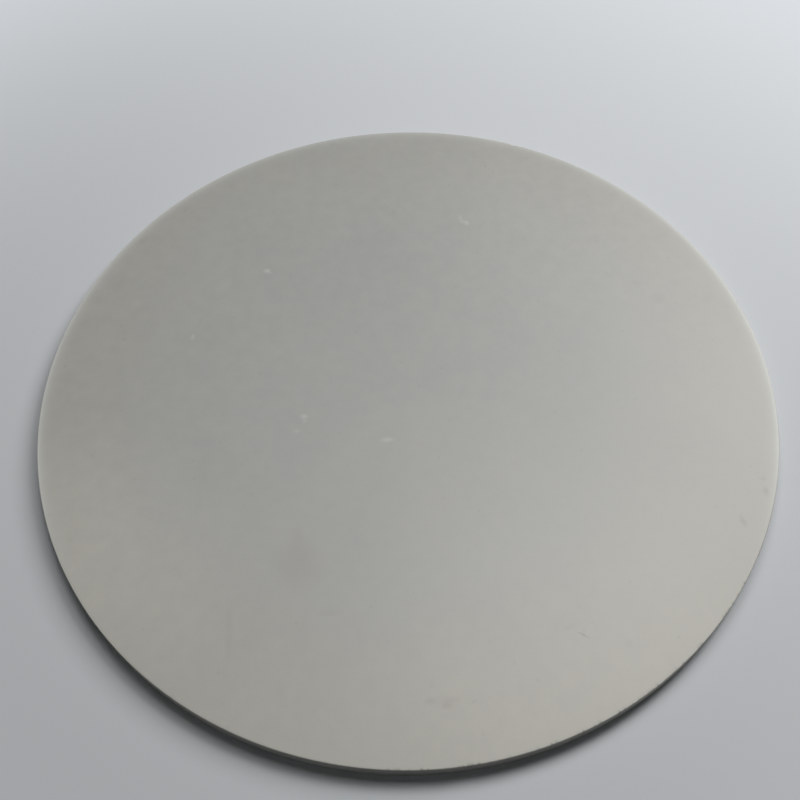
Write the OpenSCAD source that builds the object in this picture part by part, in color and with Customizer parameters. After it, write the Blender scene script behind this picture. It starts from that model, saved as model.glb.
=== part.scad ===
// Plain round ceramic heat spreader.
// One fired and ground disc: two flat faces, a straight side wall and a rounded edge at each rim.
// The origin is at the centre of the lower face and +Z points up through the disc.

/* [Disc] */
// Diameter over the side wall
disc_diameter = 200; // [60:1:300]
// Thickness between the two flat faces
disc_thickness = 5; // [2:0.1:12]

/* [Edges] */
// Radius that takes the sharp corner off both rims
edge_radius = 0.25; // [0.1:0.05:0.9]

/* [Hidden] */

// Steps in a full turn when the model is drawn
$fn = 240;

disc_radius = disc_diameter / 2;
// Radius of the flat part of each face, up to where the edge starts to turn over
flat_radius = disc_radius - edge_radius;
// Height of the straight side wall between the two rounded edges
wall_height = disc_thickness - 2 * edge_radius;

ceramic_grey = "#9EA4A2";

// Half of the disc's section, from the axis out to the side wall
module half_section() {
    square([flat_radius, disc_thickness]);
    translate([0, edge_radius])
        square([disc_radius, wall_height]);
    for (centre_height = [edge_radius, disc_thickness - edge_radius])
        translate([flat_radius, centre_height])
            circle(r = edge_radius);
}

module ceramic_disc() {
    color(ceramic_grey)
        rotate_extrude()
            half_section();
}

ceramic_disc();
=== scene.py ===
"""Looks of a plain round ceramic heat spreader: a fine-ground grey disc lying on a pale studio floor."""

import logging
import math
import random
from dataclasses import dataclass
from enum import Enum
from typing import Union

import bpy
from mathutils import Color, Matrix, Vector, noise


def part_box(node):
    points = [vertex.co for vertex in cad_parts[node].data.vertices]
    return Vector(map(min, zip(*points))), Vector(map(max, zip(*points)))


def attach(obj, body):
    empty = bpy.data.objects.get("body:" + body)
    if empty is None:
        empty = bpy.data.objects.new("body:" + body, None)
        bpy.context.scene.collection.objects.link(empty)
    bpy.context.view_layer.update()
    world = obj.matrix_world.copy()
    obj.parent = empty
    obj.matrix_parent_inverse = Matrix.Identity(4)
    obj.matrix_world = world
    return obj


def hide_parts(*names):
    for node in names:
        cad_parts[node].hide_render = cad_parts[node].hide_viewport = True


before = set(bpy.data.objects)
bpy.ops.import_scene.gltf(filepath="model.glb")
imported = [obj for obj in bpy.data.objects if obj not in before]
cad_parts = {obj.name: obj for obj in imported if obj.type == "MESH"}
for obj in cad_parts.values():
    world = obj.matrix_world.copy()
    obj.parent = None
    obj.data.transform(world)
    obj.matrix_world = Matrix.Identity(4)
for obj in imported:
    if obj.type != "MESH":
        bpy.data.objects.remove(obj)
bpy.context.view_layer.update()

LOG = logging.getLogger("ceramic_disc")
# One millimetre in the scene's metres
MM = 0.001
# Highest level of red, green and blue on a colour chart
TOP_LEVEL = 255
# Number of finer layers in each noise, and the level that a noise swings about
NOISE_LAYERS = 3.0
NOISE_MIDDLE = 0.5
# Sockets of a Mix node that blends colours: the share, the two colours and the blend
MIX_SHARE, MIX_FIRST, MIX_SECOND, MIX_BLEND = 0, 6, 7, 2
# Share of a cut at 45 degrees that goes inwards, and share that goes up or down
DIAGONAL = math.sqrt(0.5)

Socket = bpy.types.NodeSocket
Feed = Union[bpy.types.NodeSocket, float, tuple]
Point = tuple[float, float, float]


class Rim(Enum):
    """Which of the disc's two rims a nick is in."""

    UPPER = "upper"
    LOWER = "lower"


class MarkKind(Enum):
    """What a mark on the upper face is, a real speck or smudge or a patch of painted light, which decides
    how it changes the finish.
    """

    PALE_SPECK = "pale speck"
    DARK_SMUDGE = "dark smudge"
    # Wide patches of painted light that make the upper face paler
    PAINTED_LIGHT_PATCH = "paler patch"


@dataclass(frozen=True)
class Tone:
    """A colour as a colour chart gives it.

    Attributes:
        red: Red level, from 0 to TOP_LEVEL.
        green: Green level, from 0 to TOP_LEVEL.
        blue: Blue level, from 0 to TOP_LEVEL.
    """

    red: float
    green: float
    blue: float

    def linear(self) -> tuple[float, float, float, float]:
        """Returns the colour as linear RGBA, the form that shader sockets take."""
        shares = [level / TOP_LEVEL for level in (self.red, self.green, self.blue)]
        return (*Color(shares).from_srgb_to_scene_linear(), 1.0)


WHITE = Tone(TOP_LEVEL, TOP_LEVEL, TOP_LEVEL)


@dataclass(frozen=True)
class FaceMark:
    """A soft-edged oval mark on the upper face. Lengths are in mm.

    Attributes:
        kind: What the mark is.
        x: Place of its middle to the right of the disc's centre.
        y: Place of its middle behind the disc's centre.
        length: Long size of the oval.
        width: Short size of the oval.
        turn: Angle of the long size from the X axis, in degrees.
        strength: How much of the mark's own tone shows at its middle, from 0 to 1.
    """

    kind: MarkKind
    x: float
    y: float
    length: float
    width: float
    turn: float
    strength: float


@dataclass(frozen=True)
class RimNick:
    """A small shell-shaped chip out of a rim.

    Attributes:
        rim: The rim that it is in.
        angle: Place round the disc, in degrees from the X axis.
        width: Length along the rim, in mm.
        depth: How far it cuts in at its deepest, in mm.
    """

    rim: Rim
    angle: float
    width: float
    depth: float


@dataclass(frozen=True)
class NickScatter:
    """Small nicks scattered along a stretch of a rim.

    Attributes:
        rim: The rim that they are in.
        count: How many there are.
        stretch: Where the stretch starts and ends round the disc, in degrees from the X axis.
        width: Least and greatest length along the rim, in mm.
        depth: Least and greatest depth, in mm.
    """

    rim: Rim
    count: int
    stretch: tuple[float, float]
    width: tuple[float, float]
    depth: tuple[float, float]

    def nicks(self, draw: random.Random) -> list[RimNick]:
        """Draws the nicks.

        Args:
            draw: What their places and sizes are drawn from.

        Returns:
            The nicks.
        """
        found = []
        for _ in range(self.count):
            angle = draw.uniform(*self.stretch)
            width = draw.uniform(*self.width)
            found.append(RimNick(self.rim, angle, width, draw.uniform(*self.depth)))
        return found


# The two nicks that show on the far rim
FAR_NICKS = (
    RimNick(Rim.UPPER, angle=67.9, width=2.2, depth=0.22),
    RimNick(Rim.UPPER, angle=55.1, width=1.8, depth=0.18),
)

# Nicks right round both rims, and the finer ones that fray the upper rim at the front right
NICK_SCATTERS = (
    NickScatter(Rim.UPPER, count=9, stretch=(0, 360), width=(0.6, 1.6), depth=(0.04, 0.14)),
    NickScatter(Rim.LOWER, count=9, stretch=(0, 360), width=(0.6, 1.6), depth=(0.04, 0.14)),
    NickScatter(Rim.UPPER, count=80, stretch=(-95, -36), width=(0.5, 1.1), depth=(0.05, 0.15)),
)

FACE_MARKS = (
    # Pale specks, from the back of the disc to the front
    FaceMark(MarkKind.PALE_SPECK, x=18.6, y=61.7, length=4.0, width=2.0, turn=-85, strength=0.28),
    FaceMark(MarkKind.PALE_SPECK, x=19.8, y=60.0, length=4.0, width=2.2, turn=-14, strength=0.32),
    FaceMark(MarkKind.PALE_SPECK, x=20.5, y=59.3, length=2.2, width=2.2, turn=0, strength=0.30),
    FaceMark(MarkKind.PALE_SPECK, x=-40.1, y=43.2, length=3.4, width=2.6, turn=-32, strength=0.50),
    FaceMark(MarkKind.PALE_SPECK, x=-39.0, y=42.4, length=2.2, width=1.4, turn=-35, strength=0.22),
    FaceMark(MarkKind.PALE_SPECK, x=-60.2, y=19.8, length=2.6, width=1.9, turn=65, strength=0.38),
    FaceMark(MarkKind.PALE_SPECK, x=-27.8, y=-7.8, length=3.4, width=2.2, turn=0, strength=0.48),
    FaceMark(MarkKind.PALE_SPECK, x=-27.6, y=-9.2, length=2.2, width=2.2, turn=0, strength=0.22),
    FaceMark(MarkKind.PALE_SPECK, x=-29.6, y=-12.3, length=2.4, width=2.2, turn=0, strength=0.26),
    FaceMark(MarkKind.PALE_SPECK, x=-5.5, y=-15.9, length=5.6, width=2.4, turn=2, strength=0.45),
    FaceMark(MarkKind.PALE_SPECK, x=40.3, y=-69.7, length=5.0, width=0.8, turn=-29, strength=0.08),
    # A blotch with a plume behind it, and the smudges and short scratches round it and at the front
    FaceMark(MarkKind.DARK_SMUDGE, x=-28.0, y=-50.6, length=19.0, width=17.0, turn=95, strength=0.14),
    FaceMark(MarkKind.DARK_SMUDGE, x=-28.9, y=-45.3, length=8.0, width=6.0, turn=95, strength=0.06),
    FaceMark(MarkKind.DARK_SMUDGE, x=-28.5, y=-41.7, length=7.0, width=4.0, turn=95, strength=0.08),
    FaceMark(MarkKind.DARK_SMUDGE, x=-27.3, y=-49.3, length=4.0, width=3.0, turn=30, strength=0.05),
    FaceMark(MarkKind.DARK_SMUDGE, x=-20.5, y=-63.2, length=8.0, width=2.6, turn=-2, strength=0.10),
    FaceMark(MarkKind.DARK_SMUDGE, x=-20.3, y=-34.8, length=3.2, width=1.2, turn=15, strength=0.09),
    FaceMark(MarkKind.DARK_SMUDGE, x=-17.4, y=-39.7, length=2.6, width=1.2, turn=20, strength=0.08),
    FaceMark(MarkKind.DARK_SMUDGE, x=2.9, y=-84.9, length=4.4, width=2.4, turn=7, strength=0.15),
    FaceMark(MarkKind.DARK_SMUDGE, x=6.9, y=-85.3, length=7.0, width=5.0, turn=0, strength=0.09),
    FaceMark(MarkKind.DARK_SMUDGE, x=6.7, y=-86.1, length=3.8, width=1.9, turn=-2, strength=0.13),
    FaceMark(MarkKind.DARK_SMUDGE, x=8.2, y=-84.8, length=6.4, width=2.0, turn=6, strength=0.09),
    FaceMark(MarkKind.DARK_SMUDGE, x=12.9, y=-85.4, length=1.9, width=1.1, turn=0, strength=0.12),
    FaceMark(MarkKind.DARK_SMUDGE, x=39.7, y=-70.5, length=5.2, width=0.9, turn=-29, strength=0.29),
    FaceMark(MarkKind.DARK_SMUDGE, x=39.9, y=-63.7, length=3.4, width=0.8, turn=-57, strength=0.10),
    FaceMark(MarkKind.DARK_SMUDGE, x=42.7, y=-68.0, length=3.2, width=0.8, turn=-53, strength=0.05),
    FaceMark(MarkKind.DARK_SMUDGE, x=36.7, y=-68.6, length=4.0, width=2.2, turn=20, strength=0.07),
    FaceMark(MarkKind.DARK_SMUDGE, x=50.2, y=-73.1, length=3.6, width=3.0, turn=0, strength=0.05),
    # Smudges by the rim, from the front right round to the left
    FaceMark(MarkKind.DARK_SMUDGE, x=83.6, y=-42.7, length=5.0, width=2.2, turn=-75, strength=0.22),
    FaceMark(MarkKind.DARK_SMUDGE, x=91.1, y=-34.5, length=4.4, width=2.4, turn=-100, strength=0.24),
    FaceMark(MarkKind.DARK_SMUDGE, x=91.0, y=-30.8, length=3.4, width=2.0, turn=0, strength=0.10),
    FaceMark(MarkKind.DARK_SMUDGE, x=88.0, y=27.8, length=6.0, width=4.0, turn=30, strength=0.08),
    FaceMark(MarkKind.DARK_SMUDGE, x=73.9, y=28.4, length=7.0, width=6.0, turn=0, strength=0.08),
    FaceMark(MarkKind.DARK_SMUDGE, x=69.0, y=34.2, length=6.0, width=3.0, turn=-18, strength=0.08),
    FaceMark(MarkKind.DARK_SMUDGE, x=60.5, y=37.9, length=6.5, width=2.2, turn=-40, strength=0.08),
    FaceMark(MarkKind.DARK_SMUDGE, x=-78.5, y=56.5, length=7.0, width=3.0, turn=50, strength=0.16),
    FaceMark(MarkKind.DARK_SMUDGE, x=-84.3, y=41.2, length=16.0, width=7.0, turn=62, strength=0.10),
    FaceMark(MarkKind.DARK_SMUDGE, x=-44.3, y=-66.6, length=20.0, width=3.2, turn=93, strength=0.09),
    # Wide patches of painted light at the front right, the left and the back right
    FaceMark(MarkKind.PAINTED_LIGHT_PATCH, x=41.0, y=-77.0, length=142.0, width=142.0, turn=0, strength=0.18),
    FaceMark(MarkKind.PAINTED_LIGHT_PATCH, x=-82.0, y=-44.0, length=103.0, width=90.0, turn=140, strength=0.17),
    FaceMark(MarkKind.PAINTED_LIGHT_PATCH, x=55.0, y=60.0, length=154.0, width=137.0, turn=90, strength=0.09),
)


class ShaderBoard:
    """The node tree of a finish or of the surround, with short ways to add the nodes that they share."""

    def __init__(self, owner: Union[bpy.types.Material, bpy.types.World]) -> None:
        """Clears the tree.

        Args:
            owner: The material or the world that the tree belongs to.
        """
        owner.use_nodes = True
        self.tree = owner.node_tree
        self.tree.nodes.clear()

    def add(self, kind: str, **settings: object) -> bpy.types.Node:
        """Adds a node.

        Args:
            kind: Type name of the node.
            settings: Properties to set on it.

        Returns:
            The new node.
        """
        node = self.tree.nodes.new(kind)
        for name, value in settings.items():
            setattr(node, name, value)
        return node

    def feed(self, socket: Socket, value: Feed) -> None:
        """Links a socket to another one, or sets it to a constant.

        Args:
            socket: The input to fill.
            value: An output socket, or the constant.
        """
        if isinstance(value, bpy.types.NodeSocket):
            self.tree.links.new(value, socket)
        else:
            socket.default_value = value

    def math(self, operation: str, first: Feed, second: Feed = 0.0) -> Socket:
        """Adds a sum, product or other step on two numbers.

        Args:
            operation: Name of the step.
            first: First number.
            second: Second number.

        Returns:
            The result.
        """
        node = self.add("ShaderNodeMath", operation=operation)
        self.feed(node.inputs[0], first)
        self.feed(node.inputs[1], second)
        return node.outputs["Value"]

    def vector(self, operation: str, first: Feed, second: Feed = (0.0, 0.0, 0.0)) -> Socket:
        """Adds a step on two vectors that gives a vector.

        Args:
            operation: Name of the step.
            first: First vector.
            second: Second vector.

        Returns:
            The resulting vector.
        """
        node = self.add("ShaderNodeVectorMath", operation=operation)
        self.feed(node.inputs[0], first)
        self.feed(node.inputs[1], second)
        return node.outputs["Vector"]

    def scaled(self, vector: Feed, factor: Feed) -> Socket:
        """Multiplies a vector or a colour by a number.

        Args:
            vector: The vector or colour.
            factor: The number.

        Returns:
            The scaled vector.
        """
        node = self.add("ShaderNodeVectorMath", operation="SCALE")
        self.feed(node.inputs[0], vector)
        self.feed(node.inputs["Scale"], factor)
        return node.outputs["Vector"]

    def length(self, vector: Feed) -> Socket:
        """Measures a vector.

        Args:
            vector: The vector.

        Returns:
            Its length.
        """
        node = self.add("ShaderNodeVectorMath", operation="LENGTH")
        self.feed(node.inputs[0], vector)
        return node.outputs["Value"]

    def cloud(self, place: Socket, patch: float) -> bpy.types.Node:
        """Adds a noise texture.

        Args:
            place: Where on the object, in mm.
            patch: About how wide its patches are, in mm.

        Returns:
            The noise node.
        """
        node = self.add("ShaderNodeTexNoise")
        self.feed(node.inputs["Vector"], place)
        node.inputs["Scale"].default_value = 1 / patch
        node.inputs["Detail"].default_value = NOISE_LAYERS
        return node

    def spread(self, place: Socket, patch: float, amount: float) -> Socket:
        """Adds a noise that swings about zero.

        Args:
            place: Where on the object, in mm.
            patch: About how wide its patches are, in mm.
            amount: Size of the swing, from its lowest to its highest.

        Returns:
            The swing, from about -amount / 2 to amount / 2.
        """
        centred = self.math("SUBTRACT", self.cloud(place, patch).outputs["Fac"], NOISE_MIDDLE)
        return self.math("MULTIPLY", centred, amount)

    def nearest(self, place: Socket, pitch: float) -> Socket:
        """Scatters points through the object and measures how far off the nearest of them is.

        Args:
            place: Where on the object, in mm.
            pitch: About how far apart the points are, in mm.

        Returns:
            The distance, as a share of the pitch.
        """
        node = self.add("ShaderNodeTexVoronoi")
        self.feed(node.inputs["Vector"], place)
        node.inputs["Scale"].default_value = 1 / pitch
        return node.outputs["Distance"]

    def ramp(self, value: Feed, start: float, end: float, low: float = 0.0, high: float = 1.0) -> Socket:
        """Adds a smooth step.

        Args:
            value: The number that the step follows.
            start: Where it leaves low.
            end: Where it reaches high.
            low: Result before start.
            high: Result after end.

        Returns:
            The stepped number.
        """
        node = self.add("ShaderNodeMapRange", interpolation_type="SMOOTHSTEP")
        for name, number in (("From Min", start), ("From Max", end), ("To Min", low), ("To Max", high)):
            node.inputs[name].default_value = number
        self.feed(node.inputs["Value"], value)
        return node.outputs["Result"]

    def mixed(self, share: Feed, first: Feed, second: Feed) -> Socket:
        """Blends two colours.

        Args:
            share: Share of the second colour, from 0 to 1.
            first: Colour at 0.
            second: Colour at 1.

        Returns:
            The blended colour.
        """
        node = self.add("ShaderNodeMix", data_type="RGBA")
        self.feed(node.inputs[MIX_SHARE], share)
        self.feed(node.inputs[MIX_FIRST], first)
        self.feed(node.inputs[MIX_SECOND], second)
        return node.outputs[MIX_BLEND]

    def total(self, numbers: list[Socket]) -> Socket:
        """Adds several numbers up.

        Args:
            numbers: The numbers.

        Returns:
            Their sum.
        """
        running = numbers[0]
        for number in numbers[1:]:
            running = self.math("ADD", running, number)
        return running

    def looked_at(self) -> Socket:
        """Tells what is looked at, by the camera or in a reflection, from what only passes light on.

        Returns:
            1 where it is looked at, and 0 elsewhere.
        """
        path = self.add("ShaderNodeLightPath")
        seen = path.outputs["Is Camera Ray"]
        for ray in ("Glossy", "Transmission"):
            seen = self.math("MAXIMUM", seen, path.outputs[f"Is {ray} Ray"])
        return seen

    def shader_mix(self, share: Socket, first: bpy.types.Node, second: bpy.types.Node) -> Socket:
        """Blends two shaders.

        Args:
            share: Share of the second shader, from 0 to 1.
            first: Shader at 0.
            second: Shader at 1.

        Returns:
            The blended shader.
        """
        node = self.add("ShaderNodeMixShader")
        self.feed(node.inputs[0], share)
        self.feed(node.inputs[1], first.outputs[0])
        self.feed(node.inputs[2], second.outputs[0])
        return node.outputs["Shader"]


@dataclass(frozen=True)
class DiscPlace:
    """Where on the disc a layer of the finish lies, as the outputs of shader nodes.

    Attributes:
        point: The place itself, in mm.
        flat: The same without its height.
        radius: Distance from the disc's axis, in mm.
        right: Share of the way from the axis to the rim at the right, from -1 to 1.
        back: Share of the way from the axis to the rim at the back, from -1 to 1.
        height: Height over the lower face, in mm.
    """

    point: Socket
    flat: Socket
    radius: Socket
    right: Socket
    back: Socket
    height: Socket


@dataclass(frozen=True)
class GroundCeramic:
    """Fine-ground grey ceramic: satin, faintly cloudy, warmer towards the rim, with a painted highlight
    along the rims and painted light across the disc.

    Lengths are in mm, and swings, lifts and painted light are shares of the tone.

    Attributes:
        cool_grey: Tone of the coolest ceramic.
        warm_grey: Tone of the warmest ceramic.
        pale_tone: Tone of the pale specks.
        smudge_tone: Tone of the dark smudges.
        rim_highlight_tone: Tone of the painted highlight along the rims.
        warm_starts: Distance from the axis where the ceramic starts to warm towards the rim.
        warm_middle: Share of the warm tone up to there.
        warm_rim: Share of the warm tone at the rim.
        warm_back: How much that share rises from the axis to the back.
        warm_patch: Width of the wide warm and cool patches.
        warm_swing: How far those patches swing.
        tint_patch: Width of the small warm and cool patches.
        tint_swing: How far those patches swing.
        painted_light_right: Painted light, how much paler the ceramic is painted from the axis to the right.
        painted_light_back: Painted light, how much paler it is painted from the axis to the back.
        painted_light_out: Painted light, how much paler it is painted from the axis to the rim.
        cloud_patch: Width of the wide clouds.
        cloud_swing: How far they swing.
        mottle_patch: Width of the mottle.
        mottle_swing: How far it swings.
        grain_patch: Width of the grain.
        grain_swing: How far it swings.
        pore_pitch: About how far apart the pores are, through the ceramic.
        pore_size: Diameter of a pore.
        pore_depth: How much darker the middle of a pore is.
        rim_highlight_band: Distance from the rims over which the painted highlight fades to about a third.
        rim_highlight_share: Share of the highlight tone at the rims.
        rim_highlight_flank: How much that share rises at the left and right.
        rim_highlight_drop: How far the painted highlight comes down the side wall.
        rim_highlight_front: Share of the way to the back where the painted highlight starts.
        rim_highlight_back: Share of the way to the back from where it is at its full strength.
        mark_core: Share of a mark's size over which it has its full strength.
        ragged_patch: Width of the wander that makes the marks ragged.
        ragged_reach: How far the wander moves their edges.
        roughness: Roughness of the ground faces.
        rough_swing: How far the roughness swings.
        index: Refractive index.
        relief_height: Height of the grain and of the grinding lines.
        line_height: Spacing of the grinding lines on the side wall.
        line_stretch: Height of a grinding line as a share of its length.
    """

    cool_grey: Tone = Tone(162, 162, 158)
    warm_grey: Tone = Tone(172, 169, 159)
    pale_tone: Tone = Tone(199, 199, 193)
    smudge_tone: Tone = Tone(126, 106, 96)
    rim_highlight_tone: Tone = Tone(235, 236, 231)
    warm_starts: float = 50.0
    warm_middle: float = 0.3
    warm_rim: float = 0.9
    warm_back: float = -0.2
    warm_patch: float = 45.0
    warm_swing: float = 0.6
    tint_patch: float = 6.0
    tint_swing: float = 0.5
    painted_light_right: float = 0.055
    painted_light_back: float = -0.16
    painted_light_out: float = 0.10
    cloud_patch: float = 20.0
    cloud_swing: float = 0.07
    mottle_patch: float = 4.0
    mottle_swing: float = 0.16
    grain_patch: float = 0.5
    grain_swing: float = 0.05
    pore_pitch: float = 6.0
    pore_size: float = 1.4
    pore_depth: float = 0.10
    rim_highlight_band: float = 1.1
    rim_highlight_share: float = 0.42
    rim_highlight_flank: float = 0.38
    rim_highlight_drop: float = 0.4
    rim_highlight_front: float = -0.6
    rim_highlight_back: float = -0.2
    mark_core: float = 0.1
    ragged_patch: float = 1.2
    ragged_reach: float = 0.9
    roughness: float = 0.525
    rough_swing: float = 0.05
    index: float = 1.88
    relief_height: float = 0.004
    line_height: float = 0.35
    line_stretch: float = 0.02

    def material(self, disc: "CeramicDisc") -> bpy.types.Material:
        """Builds the finish.

        Args:
            disc: The disc that it goes on, for the places of its rim and faces.

        Returns:
            The finished material.
        """
        material = bpy.data.materials.new("ground_ceramic")
        board = ShaderBoard(material)
        place = self.place(board, disc)
        covers = self.marks(board, place, disc)
        # Patches of painted light make the colour paler in wide soft ovals
        painted_light_share = board.math("ADD", covers[MarkKind.PAINTED_LIGHT_PATCH], 1.0)
        colour = board.scaled(self.tone(board, place, disc), painted_light_share)
        # Painted highlight along the rims, strongest at the left and right and gone at the front
        colour = board.mixed(self.painted_rim_highlight(board, place, disc), colour, self.rim_highlight_tone.linear())
        colour = board.mixed(covers[MarkKind.DARK_SMUDGE], colour, self.smudge_tone.linear())
        colour = board.mixed(covers[MarkKind.PALE_SPECK], colour, self.pale_tone.linear())
        shader = board.add("ShaderNodeBsdfPrincipled")
        board.feed(shader.inputs["Base Color"], colour)
        uneven = board.spread(place.point, self.mottle_patch, self.rough_swing)
        board.feed(shader.inputs["Roughness"], board.math("ADD", uneven, self.roughness))
        board.feed(shader.inputs["Normal"], self.relief(board, place, disc))
        shader.inputs["IOR"].default_value = self.index
        output = board.add("ShaderNodeOutputMaterial")
        board.feed(output.inputs["Surface"], shader.outputs["BSDF"])
        return material

    def place(self, board: ShaderBoard, disc: "CeramicDisc") -> DiscPlace:
        """Works out where on the disc each point is.

        Args:
            board: The material's nodes.
            disc: The disc.

        Returns:
            The places that the layers of the finish follow.
        """
        point = board.scaled(board.add("ShaderNodeTexCoord").outputs["Object"], 1 / MM)
        flat = board.vector("MULTIPLY", point, (1.0, 1.0, 0.0))
        height = board.add("ShaderNodeSeparateXYZ")
        board.feed(height.inputs[0], point)
        across = board.add("ShaderNodeSeparateXYZ")
        board.feed(across.inputs[0], board.scaled(flat, MM / disc.radius))
        right, back = across.outputs["X"], across.outputs["Y"]
        return DiscPlace(point, flat, board.length(flat), right, back, height.outputs["Z"])

    def tone(self, board: ShaderBoard, place: DiscPlace, disc: "CeramicDisc") -> Socket:
        """Colours the bare ceramic, with painted light and shade across it.

        Args:
            board: The material's nodes.
            place: Where on the disc.
            disc: The disc that is coloured.

        Returns:
            The colour.
        """
        rim = disc.radius / MM
        warmth = board.total(
            [
                board.ramp(place.radius, self.warm_starts, rim, self.warm_middle, self.warm_rim),
                board.math("MULTIPLY", place.back, self.warm_back),
                board.spread(place.point, self.warm_patch, self.warm_swing),
                board.spread(place.point, self.tint_patch, self.tint_swing),
            ]
        )
        grey = board.mixed(warmth, self.cool_grey.linear(), self.warm_grey.linear())
        pore_reach = self.pore_size / 2 / self.pore_pitch
        from_pore = board.nearest(place.point, self.pore_pitch)
        lift = board.total(
            [
                board.spread(place.point, self.cloud_patch, self.cloud_swing),
                board.spread(place.point, self.mottle_patch, self.mottle_swing),
                board.spread(place.point, self.grain_patch, self.grain_swing),
                board.ramp(from_pore, pore_reach, 0.0, 0.0, -self.pore_depth),
                # Painted light and shade across the disc: the colour gets paler to the right, to the front
                # and out to the rim
                board.math("MULTIPLY", place.right, self.painted_light_right),
                board.math("MULTIPLY", place.back, self.painted_light_back),
                board.ramp(place.radius, 0.0, rim, -self.painted_light_out / 2, self.painted_light_out / 2),
            ]
        )
        return board.scaled(grey, board.math("ADD", lift, 1.0))

    def painted_rim_highlight(self, board: ShaderBoard, place: DiscPlace, disc: "CeramicDisc") -> Socket:
        """Paints a highlight along the rims, which fades out at the front.

        Args:
            board: The material's nodes.
            place: Where on the disc.
            disc: The disc that gets the painted highlight.

        Returns:
            Share of the highlight tone there, from 0 to 1.
        """
        half = disc.thickness / MM / 2
        inside = board.math("SUBTRACT", place.radius, disc.radius / MM)
        line = board.math("EXPONENT", board.math("DIVIDE", inside, self.rim_highlight_band))
        flank = board.math("MULTIPLY", board.math("MULTIPLY", place.right, place.right), self.rim_highlight_flank)
        rim_glint = board.math("MULTIPLY", line, board.math("ADD", flank, self.rim_highlight_share))
        behind = board.ramp(place.back, self.rim_highlight_front, self.rim_highlight_back)
        from_middle = board.math("ABSOLUTE", board.math("SUBTRACT", place.height, half))
        near_face = board.ramp(from_middle, half - self.rim_highlight_drop, half)
        return board.math("MULTIPLY", rim_glint, board.math("MULTIPLY", behind, near_face))

    def marks(self, board: ShaderBoard, place: DiscPlace, disc: "CeramicDisc") -> dict[MarkKind, Socket]:
        """Lays the marks and the patches of painted light on the upper face.

        Args:
            board: The material's nodes.
            place: Where on the disc.
            disc: The disc that is marked.

        Returns:
            How strong each kind of mark is.
        """
        wander = board.cloud(place.flat, self.ragged_patch).outputs["Color"]
        tear = board.vector("SUBTRACT", wander, (NOISE_MIDDLE, NOISE_MIDDLE, NOISE_MIDDLE))
        ragged = board.vector("ADD", place.flat, board.scaled(tear, self.ragged_reach))
        level = board.vector("MULTIPLY", ragged, (1.0, 1.0, 0.0))
        upper = board.math("GREATER_THAN", place.height, disc.thickness / MM / 2)
        covers = {}
        for kind in MarkKind:
            ovals = [self.oval(board, level, mark) for mark in FACE_MARKS if mark.kind is kind]
            covers[kind] = board.math("MULTIPLY", board.total(ovals), upper)
        return covers

    def oval(self, board: ShaderBoard, level: Socket, mark: FaceMark) -> Socket:
        """Lays one mark.

        Args:
            board: The material's nodes.
            level: Where on the face, in mm, with a ragged wander.
            mark: The mark.

        Returns:
            How strong the mark is, from 0 to its strength.
        """
        local = board.add("ShaderNodeMapping", vector_type="TEXTURE")
        board.feed(local.inputs["Vector"], level)
        local.inputs["Location"].default_value = (mark.x, mark.y, 0.0)
        local.inputs["Rotation"].default_value = (0.0, 0.0, math.radians(mark.turn))
        local.inputs["Scale"].default_value = (mark.length / 2, mark.width / 2, 1.0)
        return board.ramp(board.length(local.outputs["Vector"]), 1.0, self.mark_core, 0.0, mark.strength)

    def relief(self, board: ShaderBoard, place: DiscPlace, disc: "CeramicDisc") -> Socket:
        """Raises the grain of the faces and the grinding lines round the side wall.

        Args:
            board: The material's nodes.
            place: Where on the disc.
            disc: The disc that is ground.

        Returns:
            The bumped normal.
        """
        grain = board.cloud(place.point, self.grain_patch).outputs["Fac"]
        drawn_out = board.vector("MULTIPLY", place.point, (self.line_stretch, self.line_stretch, 1.0))
        lines = board.cloud(drawn_out, self.line_height).outputs["Fac"]
        wall = board.ramp(place.radius, disc.flat_radius / MM, disc.radius / MM)
        bump = board.add("ShaderNodeBump")
        bump.inputs["Distance"].default_value = self.relief_height * MM
        board.feed(bump.inputs["Height"], board.math("ADD", grain, board.math("MULTIPLY", lines, wall)))
        return bump.outputs["Normal"]


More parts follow.
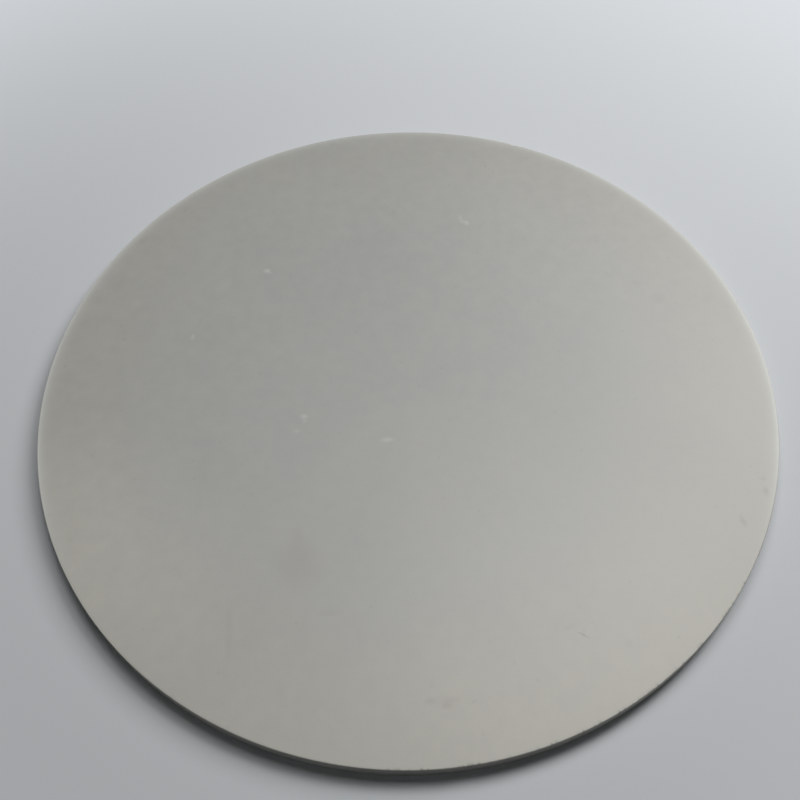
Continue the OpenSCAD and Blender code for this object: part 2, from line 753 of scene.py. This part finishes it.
@dataclass
class CeramicDisc:
    """The disc: a turned skin of the solid's own size, with the small nicks that its rims have picked up.

    Lengths are in metres.

    Attributes:
        radius: Radius of the side wall.
        thickness: Distance between the faces.
        edge_radius: Radius of the rounded edge at each rim.
        column_count: Even columns of the mesh round the disc.
        face_rings: Rings of points on each face, as shares of the radius of its flat part.
        edge_steps: Steps round each rounded edge.
        wall_rings: Rings of points on the side wall, as shares of its straight height.
        column_gap: Least distance between two columns.
        nick_step: Distance between the extra columns across a nick.
        nick_margin: How far they reach, as a share of half the nick's width.
        nick_reach: How far a nick spreads over the face and the wall, as a share of its width.
        nick_ragged: How much shallower a nick is in places, as a share of its depth.
        ragged_waves: Waves of that unevenness to a millimetre.
        scatter_seed: Start of the draw that scatters the small nicks.
        chatter: Depth of the fine unevenness along the rounded edges.
        chatter_waves: Waves of that unevenness to a millimetre.
        damage_reach: How far from the rims the unevenness and the nicks can reach.
        finish: What the disc is dressed with.
    """

    radius: float
    thickness: float
    edge_radius: float = 0.25 * MM
    column_count: int = 1080
    face_rings: tuple[float, ...] = (0.4, 0.75, 0.92, 0.98, 0.988, 0.9935, 0.997)
    edge_steps: int = 8
    wall_rings: tuple[float, ...] = (0.06, 0.15, 0.3, 0.5, 0.7, 0.85, 0.94)
    column_gap: float = 0.03 * MM
    nick_step: float = 0.1 * MM
    nick_margin: float = 1.2
    nick_reach: float = 0.5
    nick_ragged: float = 0.5
    ragged_waves: float = 2.5
    scatter_seed: int = 11
    chatter: float = 0.03 * MM
    chatter_waves: float = 0.9
    damage_reach: float = 1.2 * MM
    finish: GroundCeramic = GroundCeramic()

    @property
    def flat_radius(self) -> float:
        """Returns the radius of the flat part of each face."""
        return self.radius - self.edge_radius

    def nicks(self) -> list[RimNick]:
        """Lists the nicks that show on the far rim and the small ones scattered along both rims.

        Returns:
            The nicks.
        """
        found = list(FAR_NICKS)
        draw = random.Random(self.scatter_seed)
        for scatter in NICK_SCATTERS:
            found.extend(scatter.nicks(draw))
        return found

    def columns(self, nicks: list[RimNick]) -> list[float]:
        """Spaces the mesh's columns evenly, with extra ones across each nick.

        Args:
            nicks: The nicks.

        Returns:
            The columns' angles in rising order, in radians.
        """
        angles = [math.tau * i / self.column_count for i in range(self.column_count)]
        for nick in nicks:
            reach = self.nick_margin * nick.width / 2 * MM
            steps = math.ceil(reach / self.nick_step)
            for i in range(-steps, steps + 1):
                angles.append((math.radians(nick.angle) + reach * i / steps / self.radius) % math.tau)
        kept: list[float] = []
        for angle in sorted(angles):
            if not kept or (angle - kept[-1]) * self.radius > self.column_gap:
                kept.append(angle)
        return kept

    def half_section(self) -> list[tuple[float, float]]:
        """Draws the section from the upper face's inner ring, round the rim, to the lower face's inner ring.

        Returns:
            Pairs of radius and height.
        """
        upper = [(share * self.flat_radius, self.thickness) for share in self.face_rings]
        for i in range(self.edge_steps + 1):
            turn = math.pi / 2 * i / self.edge_steps
            out = self.flat_radius + self.edge_radius * math.sin(turn)
            upper.append((out, self.thickness - self.edge_radius * (1 - math.cos(turn))))
        lower = [(out, self.thickness - height) for out, height in reversed(upper)]
        wall_top = self.thickness - self.edge_radius
        wall_height = self.thickness - 2 * self.edge_radius
        wall = [(self.radius, wall_top - wall_height * share) for share in self.wall_rings]
        return upper + wall + lower

    def cut(self, angle: float, out: float, height: float, nicks: list[RimNick]) -> float:
        """Works out how far the rims' damage cuts in at one point of the skin.

        Args:
            angle: Place round the disc, in radians.
            out: Distance from the axis.
            height: Height over the lower face.
            nicks: The nicks.

        Returns:
            Depth of the cut, towards the middle of the disc's section.
        """
        from_rim = min(height, self.thickness - height)
        away = math.hypot(self.radius - out, from_rim)
        if away >= self.damage_reach:
            return 0.0
        rim = Rim.UPPER if height > self.thickness / 2 else Rim.LOWER
        here = Vector((out * math.cos(angle), out * math.sin(angle), height)) / MM
        deepest = 0.0
        for nick in nicks:
            if nick.rim is not rim:
                continue
            turn = (angle - math.radians(nick.angle) + math.pi) % math.tau - math.pi
            along = turn * self.radius / (nick.width / 2 * MM)
            inwards = away / (nick.width * self.nick_reach * MM)
            deepest = max(deepest, nick.depth * MM * (1 - along**2 - inwards**2))
        uneven = 1 - self.nick_ragged * abs(noise.noise(here * self.ragged_waves))
        chatter = self.chatter * abs(noise.noise(here * self.chatter_waves))
        return deepest * uneven + chatter * (1 - (away / self.damage_reach) ** 2)

    def skin(self) -> bpy.types.Mesh:
        """Turns the half section round the axis and cuts the rims' damage into it.

        Returns:
            The disc's mesh.
        """
        nicks = self.nicks()
        angles = self.columns(nicks)
        section = self.half_section()
        points: list[Point] = []
        for out, height in section:
            inward = -1 if height > self.thickness / 2 else 1
            for angle in angles:
                depth = self.cut(angle, out, height, nicks) * DIAGONAL
                reach = out - depth
                points.append((reach * math.cos(angle), reach * math.sin(angle), height + inward * depth))
        count = len(angles)
        faces = [tuple(range(count)), tuple(reversed(range(len(points) - count, len(points))))]
        for ring in range(len(section) - 1):
            start = ring * count
            for i in range(count):
                after = (i + 1) % count
                faces.append((start + i, start + count + i, start + count + after, start + after))
        mesh = bpy.data.meshes.new("ground_disc")
        mesh.from_pydata(points, [], faces)
        mesh.polygons.foreach_set("use_smooth", [True] * len(mesh.polygons))
        return mesh

    def build(self) -> bpy.types.Object:
        """Builds and dresses the disc, and sets it in the solid's place.

        Returns:
            The disc.
        """
        mesh = self.skin()
        mesh.materials.append(self.finish.material(self))
        piece = bpy.data.objects.new("ground_disc", mesh)
        bpy.context.scene.collection.objects.link(piece)
        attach(piece, "root")
        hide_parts("ceramic_disc")
        return piece


@dataclass(frozen=True)
class FloorPaint:
    """Matt pale paint that throws only a little light back, and fades into the backdrop away from the disc.

    Attributes:
        shown: Tone that it shows.
        thrown: Tone of the light that it throws back on what stands on it.
        roughness: Roughness of the paint.
        fade_starts: Distance from the disc's axis where it starts to fade, in metres.
        fade_ends: Distance from the disc's axis where it is gone, in metres.
    """

    shown: Tone = Tone(236, 239, 242)
    thrown: Tone = Tone(120, 130, 140)
    roughness: float = 0.9
    fade_starts: float = 0.11
    fade_ends: float = 0.36

    def material(self) -> bpy.types.Material:
        """Builds the paint.

        Returns:
            The finished material.
        """
        material = bpy.data.materials.new("floor_paint")
        board = ShaderBoard(material)
        tone = board.mixed(board.looked_at(), self.thrown.linear(), self.shown.linear())
        paint = board.add("ShaderNodeBsdfPrincipled")
        board.feed(paint.inputs["Base Color"], tone)
        paint.inputs["Roughness"].default_value = self.roughness
        paint.inputs["Specular IOR Level"].default_value = 0.0
        away = board.length(board.add("ShaderNodeTexCoord").outputs["Object"])
        faded = board.ramp(away, self.fade_starts, self.fade_ends)
        clear = board.add("ShaderNodeBsdfTransparent")
        output = board.add("ShaderNodeOutputMaterial")
        board.feed(output.inputs["Surface"], board.shader_mix(faded, paint, clear))
        return material


@dataclass(frozen=True)
class SoftBox:
    """A soft lamp. Lengths are in mm.

    Attributes:
        name: What the lamp is called.
        place: Where it hangs.
        aim: The point that it faces.
        width: Its level size.
        height: Its upright size.
        power: Its power, in watts.
    """

    name: str
    place: Point
    aim: Point
    width: float
    height: float
    power: float

    def build(self) -> bpy.types.Object:
        """Hangs the lamp.

        Returns:
            The lamp.
        """
        light = bpy.data.lights.new(self.name, "AREA")
        light.shape = "RECTANGLE"
        light.size = self.width * MM
        light.size_y = self.height * MM
        light.energy = self.power
        lamp = bpy.data.objects.new(self.name, light)
        lamp.location = Vector(self.place) * MM
        facing = Vector(self.aim) - Vector(self.place)
        lamp.rotation_mode = "QUATERNION"
        lamp.rotation_quaternion = facing.to_track_quat("-Z", "Y")
        bpy.context.scene.collection.objects.link(lamp)
        return lamp


@dataclass(frozen=True)
class CameraStand:
    """The camera, held in the hand and looking down on the disc.

    Attributes:
        eye: Place of the lens, in mm.
        tilt: Angle that it looks down by, in degrees.
        roll: Angle that it leans by, in degrees.
        lens: Focal length, in mm.
        sensor: Width of the sensor, in mm.
        nearest: Nearest distance that it sees, in mm.
    """

    eye: Point = (-1.75, -144.8, 232.1)
    tilt: float = 58.12
    roll: float = 1.84
    lens: float = 44.14
    sensor: float = 36.0
    nearest: float = 10.0

    def build(self) -> bpy.types.Object:
        """Sets the camera up and makes it the scene's own.

        Returns:
            The camera.
        """
        data = bpy.data.cameras.new("hand_camera")
        data.lens = self.lens
        data.sensor_width = self.sensor
        data.clip_start = self.nearest * MM
        camera = bpy.data.objects.new("hand_camera", data)
        raised = Matrix.Rotation(math.radians(90 - self.tilt), 4, "X")
        leaning = Matrix.Rotation(math.radians(-self.roll), 4, "Z")
        camera.matrix_world = Matrix.Translation(Vector(self.eye) * MM) @ raised @ leaning
        bpy.context.scene.collection.objects.link(camera)
        bpy.context.scene.camera = camera
        return camera


@dataclass
class Studio:
    """What the disc is shown in: a pale floor, soft lamps and an even surround.

    Attributes:
        floor_side: Side of the floor, in metres.
        floor_drop: How far the floor lies under the disc, in metres.
        paint: The floor's finish.
        surround: Strength of the even light from all round.
        backdrop: Tone that the surround shows.
        lamps: The soft lamps.
        stand: The camera.
    """

    floor_side: float = 1.0
    floor_drop: float = 0.02 * MM
    paint: FloorPaint = FloorPaint()
    surround: float = 0.012
    backdrop: Tone = Tone(228, 233, 238)
    lamps: tuple[SoftBox, ...] = (
        SoftBox("key_box", (367.0, 288.0, 491.0), (0.0, 0.0, 0.0), width=172.0, height=400.0, power=1.95),
        SoftBox("top_box", (24.0, 244.0, 619.0), (0.0, 0.0, 0.0), width=362.0, height=362.0, power=1.31),
    )
    stand: CameraStand = CameraStand()

    def build(self) -> list[bpy.types.Object]:
        """Builds the floor, the lamps, the surround and the camera.

        Returns:
            The floor, the lamps and the camera.
        """
        pieces = [self.floor()]
        pieces.extend(lamp.build() for lamp in self.lamps)
        self.light_surround()
        pieces.append(self.stand.build())
        return pieces

    def floor(self) -> bpy.types.Object:
        """Lays the floor.

        Returns:
            The floor.
        """
        half = self.floor_side / 2
        outline = ((-half, -half), (half, -half), (half, half), (-half, half))
        corners = [(x, y, -self.floor_drop) for x, y in outline]
        mesh = bpy.data.meshes.new("studio_floor")
        mesh.from_pydata(corners, [], [tuple(range(len(corners)))])
        mesh.materials.append(self.paint.material())
        floor = bpy.data.objects.new("studio_floor", mesh)
        bpy.context.scene.collection.objects.link(floor)
        return floor

    def light_surround(self) -> None:
        """Sets the even light from all round, which shows as the backdrop, and the plain view of colours."""
        world = bpy.data.worlds.new("surround")
        board = ShaderBoard(world)
        glow = board.add("ShaderNodeBackground")
        glow.inputs["Color"].default_value = WHITE.linear()
        glow.inputs["Strength"].default_value = self.surround
        shown = board.add("ShaderNodeBackground")
        shown.inputs["Color"].default_value = self.backdrop.linear()
        output = board.add("ShaderNodeOutputWorld")
        board.feed(output.inputs["Surface"], board.shader_mix(board.looked_at(), glow, shown))
        bpy.context.scene.world = world
        bpy.context.scene.view_settings.view_transform = "Standard"


def main() -> None:
    """Builds the disc and its studio, and reports each piece."""
    logging.basicConfig(level=logging.INFO, format="%(name)s: %(message)s")
    low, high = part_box("ceramic_disc")
    radius = min(high.x - low.x, high.y - low.y) / 2
    disc = CeramicDisc(radius=radius, thickness=high.z - low.z)
    pieces = [disc.build()]
    pieces.extend(Studio().build())
    for piece in pieces:
        LOG.info("%s (%s) is in place", piece.name, piece.type.lower())


if __name__ == "__main__":
    main()
